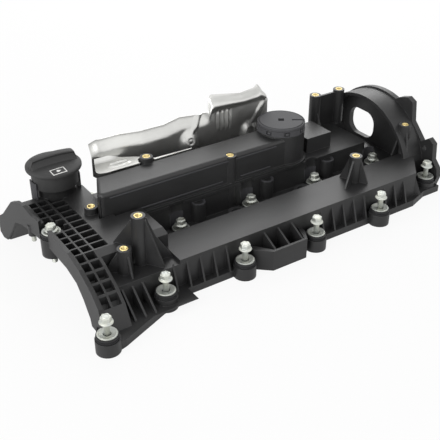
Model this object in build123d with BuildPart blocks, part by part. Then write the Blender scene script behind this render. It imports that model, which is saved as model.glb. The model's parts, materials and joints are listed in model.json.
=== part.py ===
from build123d import *
import os
from math import cos, radians, sin, sqrt

os.makedirs("parts", exist_ok=True)

# Engine valve cover for one bank of three cylinders, millimetres.
# The gasket plane is Z = 0, X runs along the bank, and the origin lies on the gasket plane
# in the middle of the front bolt row. Y points across the head, towards the hot side.

# Bolt layout
bolt_pitch = 94.0
row_count = 4
inner_row_shift = 71.0
inner_row_y = 89.0
rear_row_y = 178.0
rear_row_shift = 8.0
left_corner = (-218.0, -27.0)
right_corner = (240.0, 25.0)
arch_bolt = (-208.0, 112.0)
arch_bolt_boss_top = 46.0

# Moulding
wall = 3.0
rib = 2.0
flange_height = 8.0
flange_reach = 3.0
box_wall_reach = 12.0
box_top = 38.0
box_rear_y = 60.0
valley_floor = 16.0
deck_front_y = 99.0
deck_top = 46.0
body_left_x = -117.0
body_right_x = 250.0
corner_round = 3.0

# Front lobe between the middle bolts
lobe_left_x = -34.0
lobe_right_x = 34.0
lobe_reach = 14.0
lobe_height = 24.0

# Bolt stations
boss_radius = 12.0
boss_top = 14.0
boss_bore_radius = 7.5
grommet_flange_radius = 10.8
grommet_clearance = 0.1
washer_top = 20.0
washer_radius = 9.8
washer_thickness = 1.5
sleeve_wall = 1.9
sleeve_bore_radius = 3.6
bolt_radius = 3.0
bolt_flange_radius = 6.8
bolt_flange_height = 1.6
hex_across_flats = 8.0
hex_height = 5.6
seat_gap = 0.2

# Left end arch
arch_left_x = -213.0
arch_skew_y = 112.0
arch_skew_x = -226.0
arch_rear_y = 207.0
arch_top = 56.0
arch_crown = 39.0
arch_wall = 4.0
rim_top = 60.0
ledge_top = 34.0
ledge_front_y = 11.5
ledge_rear_y = 40.0
ledge_left_x = -188.0
lattice_right_x = -174.0
lattice_pitch = 11.6
lattice_depth = 9.0
lattice_rows = 15
spine_x = -190.0
second_spine_x = -201.5

# Oil filler
filler_x = -172.0
filler_y = 180.0
neck_radius = 21.0
neck_bore_radius = 18.0
neck_top = 78.0
bayonet_radius = 14.5
bayonet_ring_height = 4.0
bayonet_slot_angle = 60.0

# Oil filler cap
cap_brim_radius = 30.0
cap_skirt_radius = 25.0
cap_brim_bottom = 84.0
cap_brim_height = 5.0
cap_skirt_bottom = 66.0
cap_wall = 2.4
cap_top = 101.0
grip_length = 47.0
grip_width = 13.0
cap_stem_radius = 13.5
bayonet_lug_angle = 50.0
bayonet_play = 0.5

# Separator chamber
chamber_front_left_x = -160.5
chamber_rear_left_x = -142.5
chamber_front_y = 99.0
chamber_rear_y = 138.0
chamber_top = 82.0
chamber_wall = 2.5
weld_flange = 3.0
weld_thickness = 3.0
pcv_x = 91.0
pcv_y = 124.0
pcv_radius = 28.0
pcv_top = 94.0
pcv_cap_height = 11.0
valve_floor = 68.0
valve_stroke = 3.0
valve_radius = 10.0
diaphragm_thickness = 1.0

# Heat shield
shield_y = 165.0
shield_thickness = 0.8
shield_bottom = 48.0
shield_screw_radius = 1.6
shield_fixings = {"left": (-12.0, 79.0), "right": (73.0, 71.0)}

# Gasket
groove_width = 3.0
groove_depth = 2.5
bead_width = 2.6
bead_height = 2.2

# Injector openings in the valley
injector_radius = 10.0
injector_y = 80.0
injector_places = [(-bolt_pitch, injector_y), (0.0, injector_y), (bolt_pitch, injector_y)]

# Clip bosses on the valley's far edge
clip_places = [(-42.0, 97.0), (52.0, 97.0), (143.0, 97.0)]
clip_radius = 8.0
clip_top = 39.0

# Locating dowel under the arch
dowel_place = (-216.5, 143.0)
dowel_radius = 2.5
dowel_seat_radius = 3.0

# Bolts
bolt_length = 31.7
inner_bolt_length = 23.0
arch_bolt_length = 38.0
bolt_lift = 12.0
inner_bolt_lift = 3.0

# Right end hood
hood_y = 125.0
hood_z = 9.0
hood_radius = 84.0
hood_wall = 4.0
hood_front_x = 222.0
end_plate_left_x = 252.0
end_plate_right_x = 259.0
well_left_x = 206.0

# Threaded inserts: x, y, top z
insert_radius = 4.4
insert_length = 12.0
insert_bore_radius = 2.55
column_radius = 7.2
insert_places = {
    "chamber_corner": (-161.0, 116.0, 63.0),
    "tall_left": (-148.0, 36.0, 88.0),
    "short_left": (-168.0, 30.0, 61.0),
    "chamber_rear": (-81.0, 140.0, 88.0),
    "chamber_front": (4.0, 103.0, 81.0),
    "rear_pair_left": (177.0, 165.0, 91.0),
    "rear_pair_right": (215.0, 164.0, 91.0),
    "right_column": (235.0, 63.0, 74.5),
    "pyramid": (135.0, 40.0, 70.0),
}


def bolt_row(shift, y):
    """The four places of a bolt row."""
    start = -bolt_pitch * (row_count - 1) / 2 + shift
    return [(start + bolt_pitch * i, y) for i in range(row_count)]


front_row = bolt_row(0, 0)
inner_row = bolt_row(inner_row_shift, inner_row_y)
rear_row = bolt_row(rear_row_shift, rear_row_y)
flat_stations = front_row + inner_row + rear_row + [left_corner, right_corner]
rear_wall_y = rear_row_y - box_wall_reach
rear_flange_y = rear_row_y - flange_reach


def body_profile(inset):
    """Cross-section of the cam boxes and the valley, drawn inset from the outside."""
    with BuildSketch() as section:
        with BuildLine():
            Polyline(
                (box_wall_reach + inset, 0),
                (box_wall_reach + inset, box_top - inset),
                (box_rear_y - inset, box_top - inset),
                (box_rear_y + 3 - inset, valley_floor - inset),
                (deck_front_y - 2 + inset, valley_floor - inset),
                (deck_front_y + inset, deck_top - inset),
                (rear_wall_y - inset, deck_top - inset),
                (rear_wall_y - inset, 0),
                close=True,
            )
        make_face()
    return section.sketch


def tower(x, y, base, top):
    """A column that carries a threaded insert."""
    with BuildSketch(Plane.XY.offset(base)) as shape:
        with Locations((x, y)):
            Circle(column_radius)
    extrude(shape.sketch, amount=top - base)


def insert_bore(x, y, top):
    """The hole that a threaded insert is moulded into."""
    with BuildSketch(Plane.XY.offset(top - insert_length - 1)) as shape:
        with Locations((x, y)):
            Circle(insert_radius)
    extrude(shape.sketch, amount=insert_length + 2, mode=Mode.SUBTRACT)


def web(start, angle, outline, thickness=rib):
    """An upright web: its outline is given as distance along the angle, and height."""
    along = Plane(
        origin=(start[0], start[1], 0),
        x_dir=(cos(radians(angle)), sin(radians(angle)), 0),
        z_dir=(sin(radians(angle)), -cos(radians(angle)), 0),
    )
    with BuildSketch(along) as shape:
        with BuildLine():
            Polyline(*outline, close=True)
        make_face()
    extrude(shape.sketch, amount=thickness / 2, both=True)


def block(low, high, mode=Mode.ADD):
    """A block between two corners."""
    with BuildSketch(Plane.XY.offset(low[2])) as shape:
        with BuildLine():
            Polyline(
                (low[0], low[1]),
                (high[0], low[1]),
                (high[0], high[1]),
                (low[0], high[1]),
                close=True,
            )
        make_face()
    extrude(shape.sketch, amount=high[2] - low[2], mode=mode)


def plan(points, bottom, top, mode=Mode.ADD):
    """A flat outline extruded between two heights."""
    with BuildSketch(Plane.XY.offset(bottom)) as shape:
        with BuildLine():
            Polyline(*points, close=True)
        make_face()
    extrude(shape.sketch, amount=top - bottom, mode=mode)


def across(points, left, right, mode=Mode.ADD):
    """A cross-section in Y and Z extruded along X."""
    with BuildSketch(Plane.YZ.offset(left)) as shape:
        with BuildLine():
            Polyline(*points, close=True)
        make_face()
    extrude(shape.sketch, amount=right - left, mode=mode)


# Left end: an arch that bridges the chain case
arch_outside = [
    (-17, flange_height),
    (-6, 28),
    (8, 39),
    (30, 50),
    (50, arch_top),
    (arch_rear_y - 32, arch_top),
    (arch_rear_y - 6, 32),
    (arch_rear_y, 22),
    (arch_rear_y, 0),
]
arch_inside = [
    (12, 0),
    (14, 8),
    (26, 23),
    (39, 34),
    (60, arch_crown),
    (arch_rear_y - 47, arch_crown),
    (arch_rear_y - 33, arch_crown - 4),
    (arch_rear_y - 8, 0),
]
left_plan = [
    (arch_left_x, -17),
    (body_left_x + wall, -17),
    (body_left_x + wall, inner_row_y + 6),
    (-144, inner_row_y + 6),
    (-144, arch_rear_y),
    (arch_skew_x, arch_rear_y),
    (arch_left_x, arch_skew_y),
]

with BuildPart() as left_block:
    across(arch_outside + arch_inside[::-1], arch_skew_x - 2, body_left_x + wall)
    with BuildSketch():
        with BuildLine():
            Polyline(*left_plan, close=True)
        make_face()
    extrude(amount=arch_top + 10, mode=Mode.INTERSECT)
    # The step that the two left columns stand on
    block(
        (ledge_left_x, -20, ledge_top),
        (body_left_x + wall, ledge_rear_y, arch_top + 1),
        Mode.SUBTRACT,
    )
    block(
        (ledge_left_x, -20, flange_height),
        (body_left_x + wall, ledge_front_y, arch_top + 1),
        Mode.SUBTRACT,
    )

# Lattice pockets follow the arch's surface
arch_surface = arch_outside[:6]
lattice_columns = [
    (arch_left_x + wall, second_spine_x - rib / 2, 15),
    (second_spine_x + rib / 2, spine_x - rib / 2, 15),
    (spine_x + rib / 2, lattice_right_x, 10),
]
first_cell_y = -7.0
with BuildPart() as pockets:
    across(
        [(y, z - lattice_depth) for y, z in arch_surface]
        + [(y, z + 8) for y, z in arch_surface[::-1]],
        arch_left_x,
        lattice_right_x + 1,
    )
    with BuildSketch():
        for left, right, rows in lattice_columns:
            skipped = lattice_rows - rows
            for row in range(skipped, lattice_rows):
                with Locations(((left + right) / 2, first_cell_y + (row + 0.5) * lattice_pitch)):
                    Rectangle(right - left, lattice_pitch - rib)
    extrude(amount=arch_top + 12, mode=Mode.INTERSECT)

# End plate of the arch, with its rim and the leg behind the notch
end_front = [
    (-12, flange_height + 4),
    (-7, 31),
    (7, 43),
    (30, 54),
    (54, rim_top),
    (arch_skew_y + 1, rim_top),
    (arch_skew_y + 1, arch_crown),
    (60, arch_crown),
    (39, 34),
    (26, 23),
    (14, 8),
    (12, 0),
    (0, 0),
]
skew = Vector(arch_skew_x - arch_left_x, arch_rear_y - arch_skew_y, 0).normalized()
skew_plane = Plane(
    origin=(arch_left_x, arch_skew_y, 0), x_dir=skew, z_dir=skew.cross(Vector(0, 0, 1))
)
leg_outline = [
    (-1, arch_crown),
    (-1, rim_top),
    (24, rim_top + 1),
    (39, rim_top + 6),
    (53, rim_top + 5),
    (66, rim_top - 1),
    (90, 34),
    (103, 25),
    (104, 5),
    (97, 0),
    (88, 1),
    (62, arch_crown - 3),
    (46, arch_crown + 1),
]
with BuildPart() as end_plate:
    across(end_front, arch_left_x - wall, arch_left_x + 1)
    with BuildSketch(skew_plane.offset(-wall)):
        with BuildLine():
            Polyline(*leg_outline, close=True)
        make_face()
    extrude(amount=wall + 1)

# Right end: a hood over the pump drive, closed by a plate with two ears
with BuildPart() as hood:
    with BuildSketch(Plane.YZ.offset(hood_front_x)):
        with Locations((hood_y, hood_z)):
            Circle(hood_radius)
        with Locations((hood_y, -100)):
            Rectangle(400, 200, mode=Mode.SUBTRACT)
        with Locations((hood_y, hood_z)):
            Circle(hood_radius - hood_wall, mode=Mode.SUBTRACT)
        with Locations((0, 0)):
            Rectangle(2 * 44, 400, mode=Mode.SUBTRACT)
    extrude(amount=end_plate_left_x + 1 - hood_front_x)

plate_radius = hood_radius + 2
with BuildPart() as right_plate:
    with BuildSketch(Plane.YZ.offset(end_plate_left_x)):
        with BuildLine():
            outline = Polyline(
                (hood_y + plate_radius, hood_z),
                (hood_y + plate_radius, 0),
                (22, 0),
                (17, 17),
                (19, 27),
                (28, 36),
                (30, 56),
                (38, 61),
                (49, 53),
                (68, 72),
                (71, 96),
                (80, 100),
                (92, 96),
                (100, hood_z + sqrt(plate_radius**2 - 25**2)),
            )
            ThreePointArc(
                outline @ 1,
                (hood_y + 60, hood_z + sqrt(plate_radius**2 - 60**2)),
                outline @ 0,
            )
        make_face()
        with Locations((155, 38)):
            RectangleRounded(46, 36, 15, mode=Mode.SUBTRACT)
        with Locations((43, 46)):
            Circle(3.4, mode=Mode.SUBTRACT)
    extrude(amount=end_plate_right_x - end_plate_left_x)

# Flange outline on the gasket plane
flange_plan = [
    (arch_left_x, 14),
    (arch_left_x, 5),
    (-226, -16),
    (-214, -35),
    (-202, -32),
    (-148, -10),
    (-132, flange_reach),
    (200, flange_reach),
    (232, 14),
    (end_plate_left_x, 34),
    (end_plate_right_x, 40),
    (end_plate_right_x, hood_y + hood_radius),
    (hood_front_x, hood_y + hood_radius),
    (hood_front_x, rear_flange_y),
    (-144, rear_flange_y),
    (-144, 14),
]
lobe_plan = [
    (lobe_left_x, box_wall_reach + 1),
    (lobe_left_x, flange_reach),
    (lobe_left_x + 16, flange_reach - lobe_reach),
    (lobe_right_x - 8, flange_reach - lobe_reach),
    (lobe_right_x, flange_reach),
    (lobe_right_x, box_wall_reach + 1),
]
corner_cut = [(204, -20), (204, 7), (end_plate_left_x, 62), (end_plate_left_x, -20)]
chamber_plan = [
    (chamber_front_left_x, chamber_front_y),
    (pcv_x, chamber_front_y),
    (pcv_x, chamber_rear_y),
    (chamber_rear_left_x, chamber_rear_y),
]
gasket_path = [
    (-128, 11),
    (200, 11),
    (206, 14),
    (247, 61),
    (254.5, 70),
    (254.5, 167),
    (-128, 167),
]

# The bead's band, drawn at the groove's width and at the bead's width
with BuildSketch() as groove_band:
    with BuildLine():
        Polyline(*gasket_path, close=True)
    make_face()
    offset(amount=groove_width / 2, kind=Kind.ARC)
    with BuildSketch(mode=Mode.PRIVATE) as groove_core:
        with BuildLine():
            Polyline(*gasket_path, close=True)
        make_face()
        offset(amount=-groove_width / 2, kind=Kind.INTERSECTION, mode=Mode.REPLACE)
    add(groove_core.sketch, mode=Mode.SUBTRACT)

with BuildSketch() as bead_band:
    with BuildLine():
        Polyline(*gasket_path, close=True)
    make_face()
    offset(amount=bead_width / 2, kind=Kind.ARC)
    with BuildSketch(mode=Mode.PRIVATE) as bead_core:
        with BuildLine():
            Polyline(*gasket_path, close=True)
        make_face()
        offset(amount=-bead_width / 2, kind=Kind.INTERSECTION, mode=Mode.REPLACE)
    add(bead_core.sketch, mode=Mode.SUBTRACT)

rib_pitch = bolt_pitch / 6
rib_starts = [-125.0 + rib_pitch * i for i in range(21)]

with BuildPart() as cover:
    plan(flange_plan, 0, flange_height)
    plan(lobe_plan, 0, lobe_height)
    with BuildSketch(Plane.XY.offset(flange_height + 2)):
        with BuildLine():
            Polyline(
                (lobe_left_x + 3, box_wall_reach),
                (lobe_left_x + 18, flange_reach - lobe_reach + wall),
                (lobe_right_x - 10, flange_reach - lobe_reach + wall),
                (lobe_right_x - 3, box_wall_reach),
                close=True,
            )
        make_face()
    extrude(amount=lobe_height, mode=Mode.SUBTRACT)
    with BuildSketch(Plane.YZ.offset(body_left_x)):
        add(body_profile(0))
    extrude(amount=end_plate_left_x - body_left_x)
    across(
        [
            (deck_front_y - 2, 0),
            (deck_front_y, deck_top),
            (rear_wall_y, deck_top),
            (rear_wall_y, 0),
        ],
        -144,
        body_left_x + 1,
    )
    plan(corner_cut, flange_height, box_top + 1, Mode.SUBTRACT)
    add(left_block.part)
    add(pockets.part, mode=Mode.SUBTRACT)
    add(end_plate.part)
    # Lower half of the separator's weld flange, and the seat of its left end
    block(
        (-144, deck_front_y - weld_flange, deck_top - weld_thickness),
        (well_left_x, deck_front_y + 1, deck_top),
    )
    plan(
        [
            (chamber_front_left_x - 0.1, chamber_front_y - 0.1),
            (-140, chamber_front_y - 0.1),
            (-140, chamber_rear_y + 0.1),
            (chamber_rear_left_x - 0.1, chamber_rear_y + 0.1),
        ],
        deck_top,
        arch_top + 1,
        Mode.SUBTRACT,
    )
    # Hollow underneath
    with BuildSketch(Plane.YZ.offset(body_left_x + wall)):
        add(body_profile(wall))
    extrude(amount=well_left_x - body_left_x - 2 * wall, mode=Mode.SUBTRACT)
    block(
        (-144 + wall, deck_front_y + wall, -1),
        (body_left_x + 2 * wall, rear_wall_y - wall, deck_top - wall),
        Mode.SUBTRACT,
    )
    plan(
        [
            (well_left_x - 2 * wall, box_wall_reach + wall),
            (well_left_x + 1, box_wall_reach + wall),
            (243.5, box_rear_y - wall),
            (well_left_x - 2 * wall, box_rear_y - wall),
        ],
        -1,
        box_top - wall,
        Mode.SUBTRACT,
    )
    plan(
        [
            (well_left_x - 2 * wall, box_rear_y - wall - 1),
            (242.5, box_rear_y - wall - 1),
            (end_plate_left_x - wall, 63),
            (end_plate_left_x - wall, rear_wall_y - wall),
            (well_left_x - 2 * wall, rear_wall_y - wall),
        ],
        -1,
        valley_floor - wall,
        Mode.SUBTRACT,
    )
    # Well in front of the hood
    block(
        (well_left_x, box_rear_y + 5, valley_floor),
        (end_plate_left_x, 156, 120),
        Mode.SUBTRACT,
    )
    block(
        (hood_front_x, 150, valley_floor),
        (end_plate_left_x, hood_y + hood_radius - hood_wall - 6, 120),
        Mode.SUBTRACT,
    )
    add(hood.part)
    add(right_plate.part)
    # Ribs of the front wall
    for x in rib_starts:
        clear_of_bosses = min(abs(x - station[0]) for station in front_row) > boss_radius
        clear_of_lobe = x < lobe_left_x - rib or x > lobe_right_x + rib
        if clear_of_bosses and clear_of_lobe:
            across([(3.5, flange_height), (12.5, flange_height), (12.5, 36)], x - rib / 2, x + rib / 2)
    for x in (-14, 4, 22):
        across([(-8, lobe_height), (-8, 10), (12.5, 10), (12.5, 34)], x - rib / 2, x + rib / 2)
    for share in (0.12, 0.88):
        web(
            (204 + 48 * share, 7 + 55 * share),
            -41,
            [(-1, flange_height), (9, flange_height), (-1, 34)],
        )
    # Ribs of the step and of the corner foot
    for x in (-182, -171, -160):
        across(
            [(ledge_front_y + 1, 7), (-14, 7), (-14, 9), (ledge_front_y + 1, 30)],
            x - rib / 2,
            x + rib / 2,
        )
    # Bolt bosses
    with BuildSketch():
        with Locations(*front_row, *rear_row, left_corner, right_corner):
            Circle(boss_radius)
    extrude(amount=boss_top)
    with BuildSketch():
        with Locations(*inner_row):
            Circle(boss_radius + 1.5)
    extrude(amount=valley_floor)
    with BuildSketch(Plane.XY.offset(boss_top)):
        with Locations(*inner_row):
            Circle(grommet_flange_radius + 1)
    extrude(amount=deck_top - boss_top, mode=Mode.SUBTRACT)
    with BuildSketch(Plane.XY.offset(arch_crown - 14)):
        with Locations(arch_bolt):
            Circle(boss_radius)
    extrude(amount=arch_bolt_boss_top - arch_crown + 14)
    with BuildSketch(Plane.XY.offset(arch_bolt_boss_top)):
        with Locations(arch_bolt):
            Circle(boss_radius + 1)
    extrude(amount=20, mode=Mode.SUBTRACT)
    with BuildSketch(Plane.XY.offset(-1)):
        with Locations(*flat_stations, arch_bolt):
            Circle(boss_bore_radius)
    extrude(amount=arch_bolt_boss_top + 2, mode=Mode.SUBTRACT)
    # Injector openings with their rims
    with BuildSketch(Plane.XY.offset(valley_floor - 8)):
        with Locations(*injector_places):
            Circle(injector_radius + 2.5)
    extrude(amount=8 + wall)
    with BuildSketch(Plane.XY.offset(-1)):
        with Locations(*injector_places):
            Circle(injector_radius)
    extrude(amount=deck_top, mode=Mode.SUBTRACT)
    # Clip bosses
    with BuildSketch(Plane.XY.offset(valley_floor - 1)):
        with Locations(*clip_places):
            Circle(clip_radius)
    extrude(amount=clip_top - valley_floor + 1)
    # Insert towers and their gussets
    tower(*insert_places["tall_left"][:2], ledge_top - 1, insert_places["tall_left"][2])
    tower(*insert_places["short_left"][:2], ledge_top - 1, insert_places["short_left"][2])
    tower(*insert_places["chamber_corner"][:2], arch_top - 1, insert_places["chamber_corner"][2])
    tower(*insert_places["chamber_front"][:2], valley_floor - 1, deck_top)
    tower(*insert_places["rear_pair_left"][:2], deck_top - 1, insert_places["rear_pair_left"][2])
    tower(*insert_places["rear_pair_right"][:2], flange_height - 1, insert_places["rear_pair_right"][2])
    tower(*insert_places["right_column"][:2], valley_floor - 1, insert_places["right_column"][2])
    tower(*insert_places["pyramid"][:2], box_top - 1, insert_places["pyramid"][2])
    x, y, top = insert_places["tall_left"]
    web((x, y), -55, [(0, ledge_top - 1), (0, top - 2), (8, top - 4), (16, 62), (27, ledge_top - 1)])
    web((x, y), -15, [(0, ledge_top - 1), (0, top - 2), (8, top - 4), (16, 62), (34, ledge_top - 1)])
    web((x, y), 140, [(0, ledge_top - 1), (0, top - 2), (8, top - 6), (27, arch_top - 1), (30, ledge_top - 1)])
    x, y, top = insert_places["short_left"]
    web((x, y), -90, [(0, ledge_top - 1), (0, top - 3), (8, top - 6), (15, ledge_top - 1)])
    web((x, y), 150, [(0, ledge_top - 1), (0, top - 3), (8, top - 6), (22, ledge_top - 1)])
    x, y, top = insert_places["pyramid"]
    for angle in (25, 115, 205, 295):
        reach = 18 if angle in (115, 295) else 26
        web((x, y), angle, [(0, box_top - 1), (0, top - 2), (7, top - 4), (reach, box_top - 1)])
    x, y, top = insert_places["right_column"]
    for angle in (180, 250):
        web((x, y), angle, [(0, box_top - 1), (0, top - 4), (7, top - 8), (18, box_top - 1)])
    x, y, top = insert_places["rear_pair_left"]
    web((x, y), 0, [(0, deck_top - 1), (0, top - 3), (38, top - 3), (38, deck_top - 1)], wall)
    web((x, y), -90, [(0, deck_top - 1), (0, top - 8), (18, deck_top - 1)])
    # Posts for the heat shield
    for x, z in shield_fixings.values():
        block(
            (x - 6, shield_y + shield_thickness, flange_height - 1),
            (x + 6, shield_y + 10, z + 7),
        )
        with BuildSketch(Plane.XZ.offset(-shield_y)):
            with Locations((x, z)):
                Circle(shield_screw_radius)
        extrude(amount=-9, mode=Mode.SUBTRACT)
    # Step box beside the valve housing
    block((123, 112, deck_top - 1), (160, 150, 65))
    # Filler neck
    with BuildSketch(Plane.XY.offset(arch_crown)):
        with Locations((filler_x, filler_y)):
            Circle(neck_radius)
    extrude(amount=neck_top - arch_crown)
    with BuildSketch(Plane.XY):
        with Locations((filler_x, filler_y)):
            Circle(neck_bore_radius)
    extrude(amount=neck_top, mode=Mode.SUBTRACT)
    with BuildSketch(Plane.XY.offset(arch_top - bayonet_ring_height)):
        with Locations((filler_x, filler_y)):
            Circle(neck_bore_radius + 1)
            Circle(bayonet_radius, mode=Mode.SUBTRACT)
    extrude(amount=bayonet_ring_height)
    with BuildSketch(Plane.XY.offset(arch_top - bayonet_ring_height - 1)):
        with Locations((filler_x, filler_y)):
            Circle(neck_bore_radius - 0.4)
        with BuildSketch(mode=Mode.PRIVATE) as slot_wedge:
            with Locations((filler_x, filler_y)):
                Rectangle(60, 2 * bayonet_radius * sin(radians(bayonet_slot_angle / 2)))
        add(slot_wedge.sketch, mode=Mode.INTERSECT)
    extrude(amount=bayonet_ring_height + 2, mode=Mode.SUBTRACT)
    # Seat of the locating dowel
    with BuildSketch(Plane.XY.offset(arch_crown - 5)):
        with Locations(dowel_place):
            Circle(dowel_radius + 2.5)
    extrude(amount=12)
    with BuildSketch(Plane.XY.offset(arch_crown - 6)):
        with Locations(dowel_place):
            Circle(dowel_seat_radius)
    extrude(amount=11, mode=Mode.SUBTRACT)
    # Bores for the inserts that stand in the cover
    for name, (x, y, top) in insert_places.items():
        if name not in ("chamber_rear", "chamber_front"):
            insert_bore(x, y, top)
    # Gasket groove
    extrude(groove_band.sketch, amount=groove_depth, mode=Mode.SUBTRACT)

cover.part.label = "cover"
export_step(cover.part, "parts/cover.step")

with BuildPart() as cam_cover_gasket:
    extrude(bead_band.sketch, amount=bead_height)
cam_cover_gasket.part.label = "cam_cover_gasket"
export_step(cam_cover_gasket.part, "parts/cam_cover_gasket.step")

with BuildPart() as separator_cover:
    with BuildSketch(Plane.XY.offset(deck_top)):
        with BuildLine():
            Polyline(*chamber_plan, close=True)
        make_face()
    extrude(amount=chamber_top - deck_top)
    fillet(separator_cover.edges().filter_by(Axis.Z).group_by(Axis.X)[0], 6)
    fillet(separator_cover.faces().sort_by(Axis.Z)[-1].edges().filter_by(lambda e: e.center().X < pcv_x - 1), 4)
    with BuildSketch(Plane.XY.offset(deck_top)):
        with Locations((pcv_x, pcv_y)):
            Circle(pcv_radius)
    extrude(amount=pcv_top - pcv_cap_height - deck_top)
    with BuildSketch(Plane.XY.offset(deck_top)):
        with BuildLine():
            Polyline(
                (-140, chamber_front_y - weld_flange),
                (pcv_x, chamber_front_y - weld_flange),
                (pcv_x, chamber_rear_y + weld_flange),
                (-140, chamber_rear_y + weld_flange),
                close=True,
            )
        make_face()
        with Locations((pcv_x, pcv_y)):
            Circle(pcv_radius + weld_flange)
    extrude(amount=weld_thickness)
    for name in ("chamber_rear", "chamber_front"):
        tower(*insert_places[name][:2], deck_top, insert_places[name][2])
    # Hollow
    with BuildSketch(Plane.XY.offset(deck_top - 1)):
        with BuildLine():
            Polyline(*chamber_plan, close=True)
        make_face()
        offset(amount=-chamber_wall, kind=Kind.INTERSECTION, mode=Mode.REPLACE)
        for name in ("chamber_rear", "chamber_front"):
            with Locations(insert_places[name][:2]):
                Circle(column_radius, mode=Mode.SUBTRACT)
    extrude(amount=chamber_top - deck_top + 1 - chamber_wall, mode=Mode.SUBTRACT)
    with BuildSketch(Plane.XY.offset(deck_top - 1)):
        with Locations((pcv_x, pcv_y)):
            Circle(pcv_radius - chamber_wall)
    extrude(amount=valve_floor - deck_top + 1, mode=Mode.SUBTRACT)
    with BuildSketch(Plane.XY.offset(valve_floor)):
        with Locations((pcv_x, pcv_y)):
            Circle(pcv_radius - 1)
    extrude(amount=chamber_wall)
    with BuildSketch(Plane.XY.offset(valve_floor + chamber_wall)):
        with Locations((pcv_x, pcv_y)):
            Circle(pcv_radius - chamber_wall)
    extrude(amount=30, mode=Mode.SUBTRACT)
    with BuildSketch(Plane.XY.offset(valve_floor - 1)):
        with Locations((pcv_x, pcv_y)):
            Circle(6)
    extrude(amount=chamber_wall + 2, mode=Mode.SUBTRACT)
    for name in ("chamber_rear", "chamber_front"):
        insert_bore(*insert_places[name])

separator_cover.part.label = "separator_cover"
export_step(separator_cover.part, "parts/separator_cover.step")

with BuildPart() as baffle_plate:
    block((-136, 111.5, deck_top + 12), (58, 131.5, deck_top + 13.5))
    block((-136, 111.5, deck_top), (58, 113, deck_top + 12.5))
    block((-136, 130, deck_top), (58, 131.5, deck_top + 12.5))
    with BuildSketch(Plane.XY.offset(deck_top + 11)):
        with Locations((-39, 121.5)):
            with GridLocations(22, 8, 8, 2):
                Circle(2.5)
    extrude(amount=4, mode=Mode.SUBTRACT)
baffle_plate.part.label = "baffle_plate"
export_step(baffle_plate.part, "parts/baffle_plate.step")

# Pressure control valve on the separator
seat_z = valve_floor + chamber_wall
diaphragm_z = pcv_top - pcv_cap_height
with BuildPart() as pcv_diaphragm:
    with BuildSketch(Plane.XY.offset(diaphragm_z)):
        with Locations((pcv_x, pcv_y)):
            Circle(pcv_radius - 0.3)
    extrude(amount=diaphragm_thickness)
pcv_diaphragm.part.label = "pcv_diaphragm"
export_step(pcv_diaphragm.part, "parts/pcv_diaphragm.step")

with BuildPart() as pcv_valve:
    with BuildSketch(Plane.XY.offset(diaphragm_z - 3)):
        with Locations((pcv_x, pcv_y)):
            Circle(valve_radius)
    extrude(amount=3)
    with BuildSketch(Plane.XY.offset(seat_z + valve_stroke + 0.2)):
        with Locations((pcv_x, pcv_y)):
            Circle(5.5)
    extrude(amount=diaphragm_z - 3 - seat_z - valve_stroke)
pcv_valve.part.label = "pcv_valve"
export_step(pcv_valve.part, "parts/pcv_valve.step")

spring_wire = 0.45
spring_height = diaphragm_z - 3 - seat_z
with BuildPart() as pcv_spring:
    with BuildLine(Plane.XY.offset(seat_z + spring_wire)):
        coil = Helix(
            pitch=(spring_height - 2 * spring_wire) / 2.5,
            height=spring_height - 2 * spring_wire,
            radius=7.5,
            center=(pcv_x, pcv_y, 0),
        )
    with BuildSketch(Plane(origin=coil @ 0, z_dir=coil % 0)):
        RegularPolygon(radius=spring_wire, side_count=6)
    sweep(is_frenet=True)
pcv_spring.part.label = "pcv_spring"
export_step(pcv_spring.part, "parts/pcv_spring.step")

cap_bottom_z = diaphragm_z + diaphragm_thickness
with BuildPart() as pcv_cap:
    with BuildSketch(Plane.XY.offset(cap_bottom_z)):
        with Locations((pcv_x, pcv_y)):
            Circle(pcv_radius)
    extrude(amount=pcv_top - cap_bottom_z)
    fillet(pcv_cap.faces().sort_by(Axis.Z)[-1].edges(), 2)
    with BuildSketch(Plane.XY.offset(cap_bottom_z)):
        with Locations((pcv_x, pcv_y)):
            Circle(pcv_radius - chamber_wall)
    extrude(amount=pcv_top - cap_bottom_z - chamber_wall, mode=Mode.SUBTRACT)
    with BuildSketch(Plane.XY.offset(pcv_top - 1)):
        with Locations((pcv_x, pcv_y)):
            Rectangle(9, 9)
        with Locations((pcv_x + 17, pcv_y - 9)):
            Rectangle(11, 2.5, rotation=-28)
    extrude(amount=2, mode=Mode.SUBTRACT)
    # Snap ring with its grip ribs
    with BuildSketch(Plane.XY.offset(cap_bottom_z)):
        with Locations((pcv_x, pcv_y)):
            Circle(pcv_radius + 2)
            Circle(pcv_radius - 1, mode=Mode.SUBTRACT)
    extrude(amount=2.5)
    with BuildSketch(Plane.XY.offset(cap_bottom_z)):
        with Locations((pcv_x, pcv_y)):
            with PolarLocations(pcv_radius + 0.4, 24):
                Rectangle(2.4, 2)
    extrude(amount=pcv_top - cap_bottom_z - 3)
pcv_cap.part.label = "pcv_cap"
export_step(pcv_cap.part, "parts/pcv_cap.step")

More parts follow.
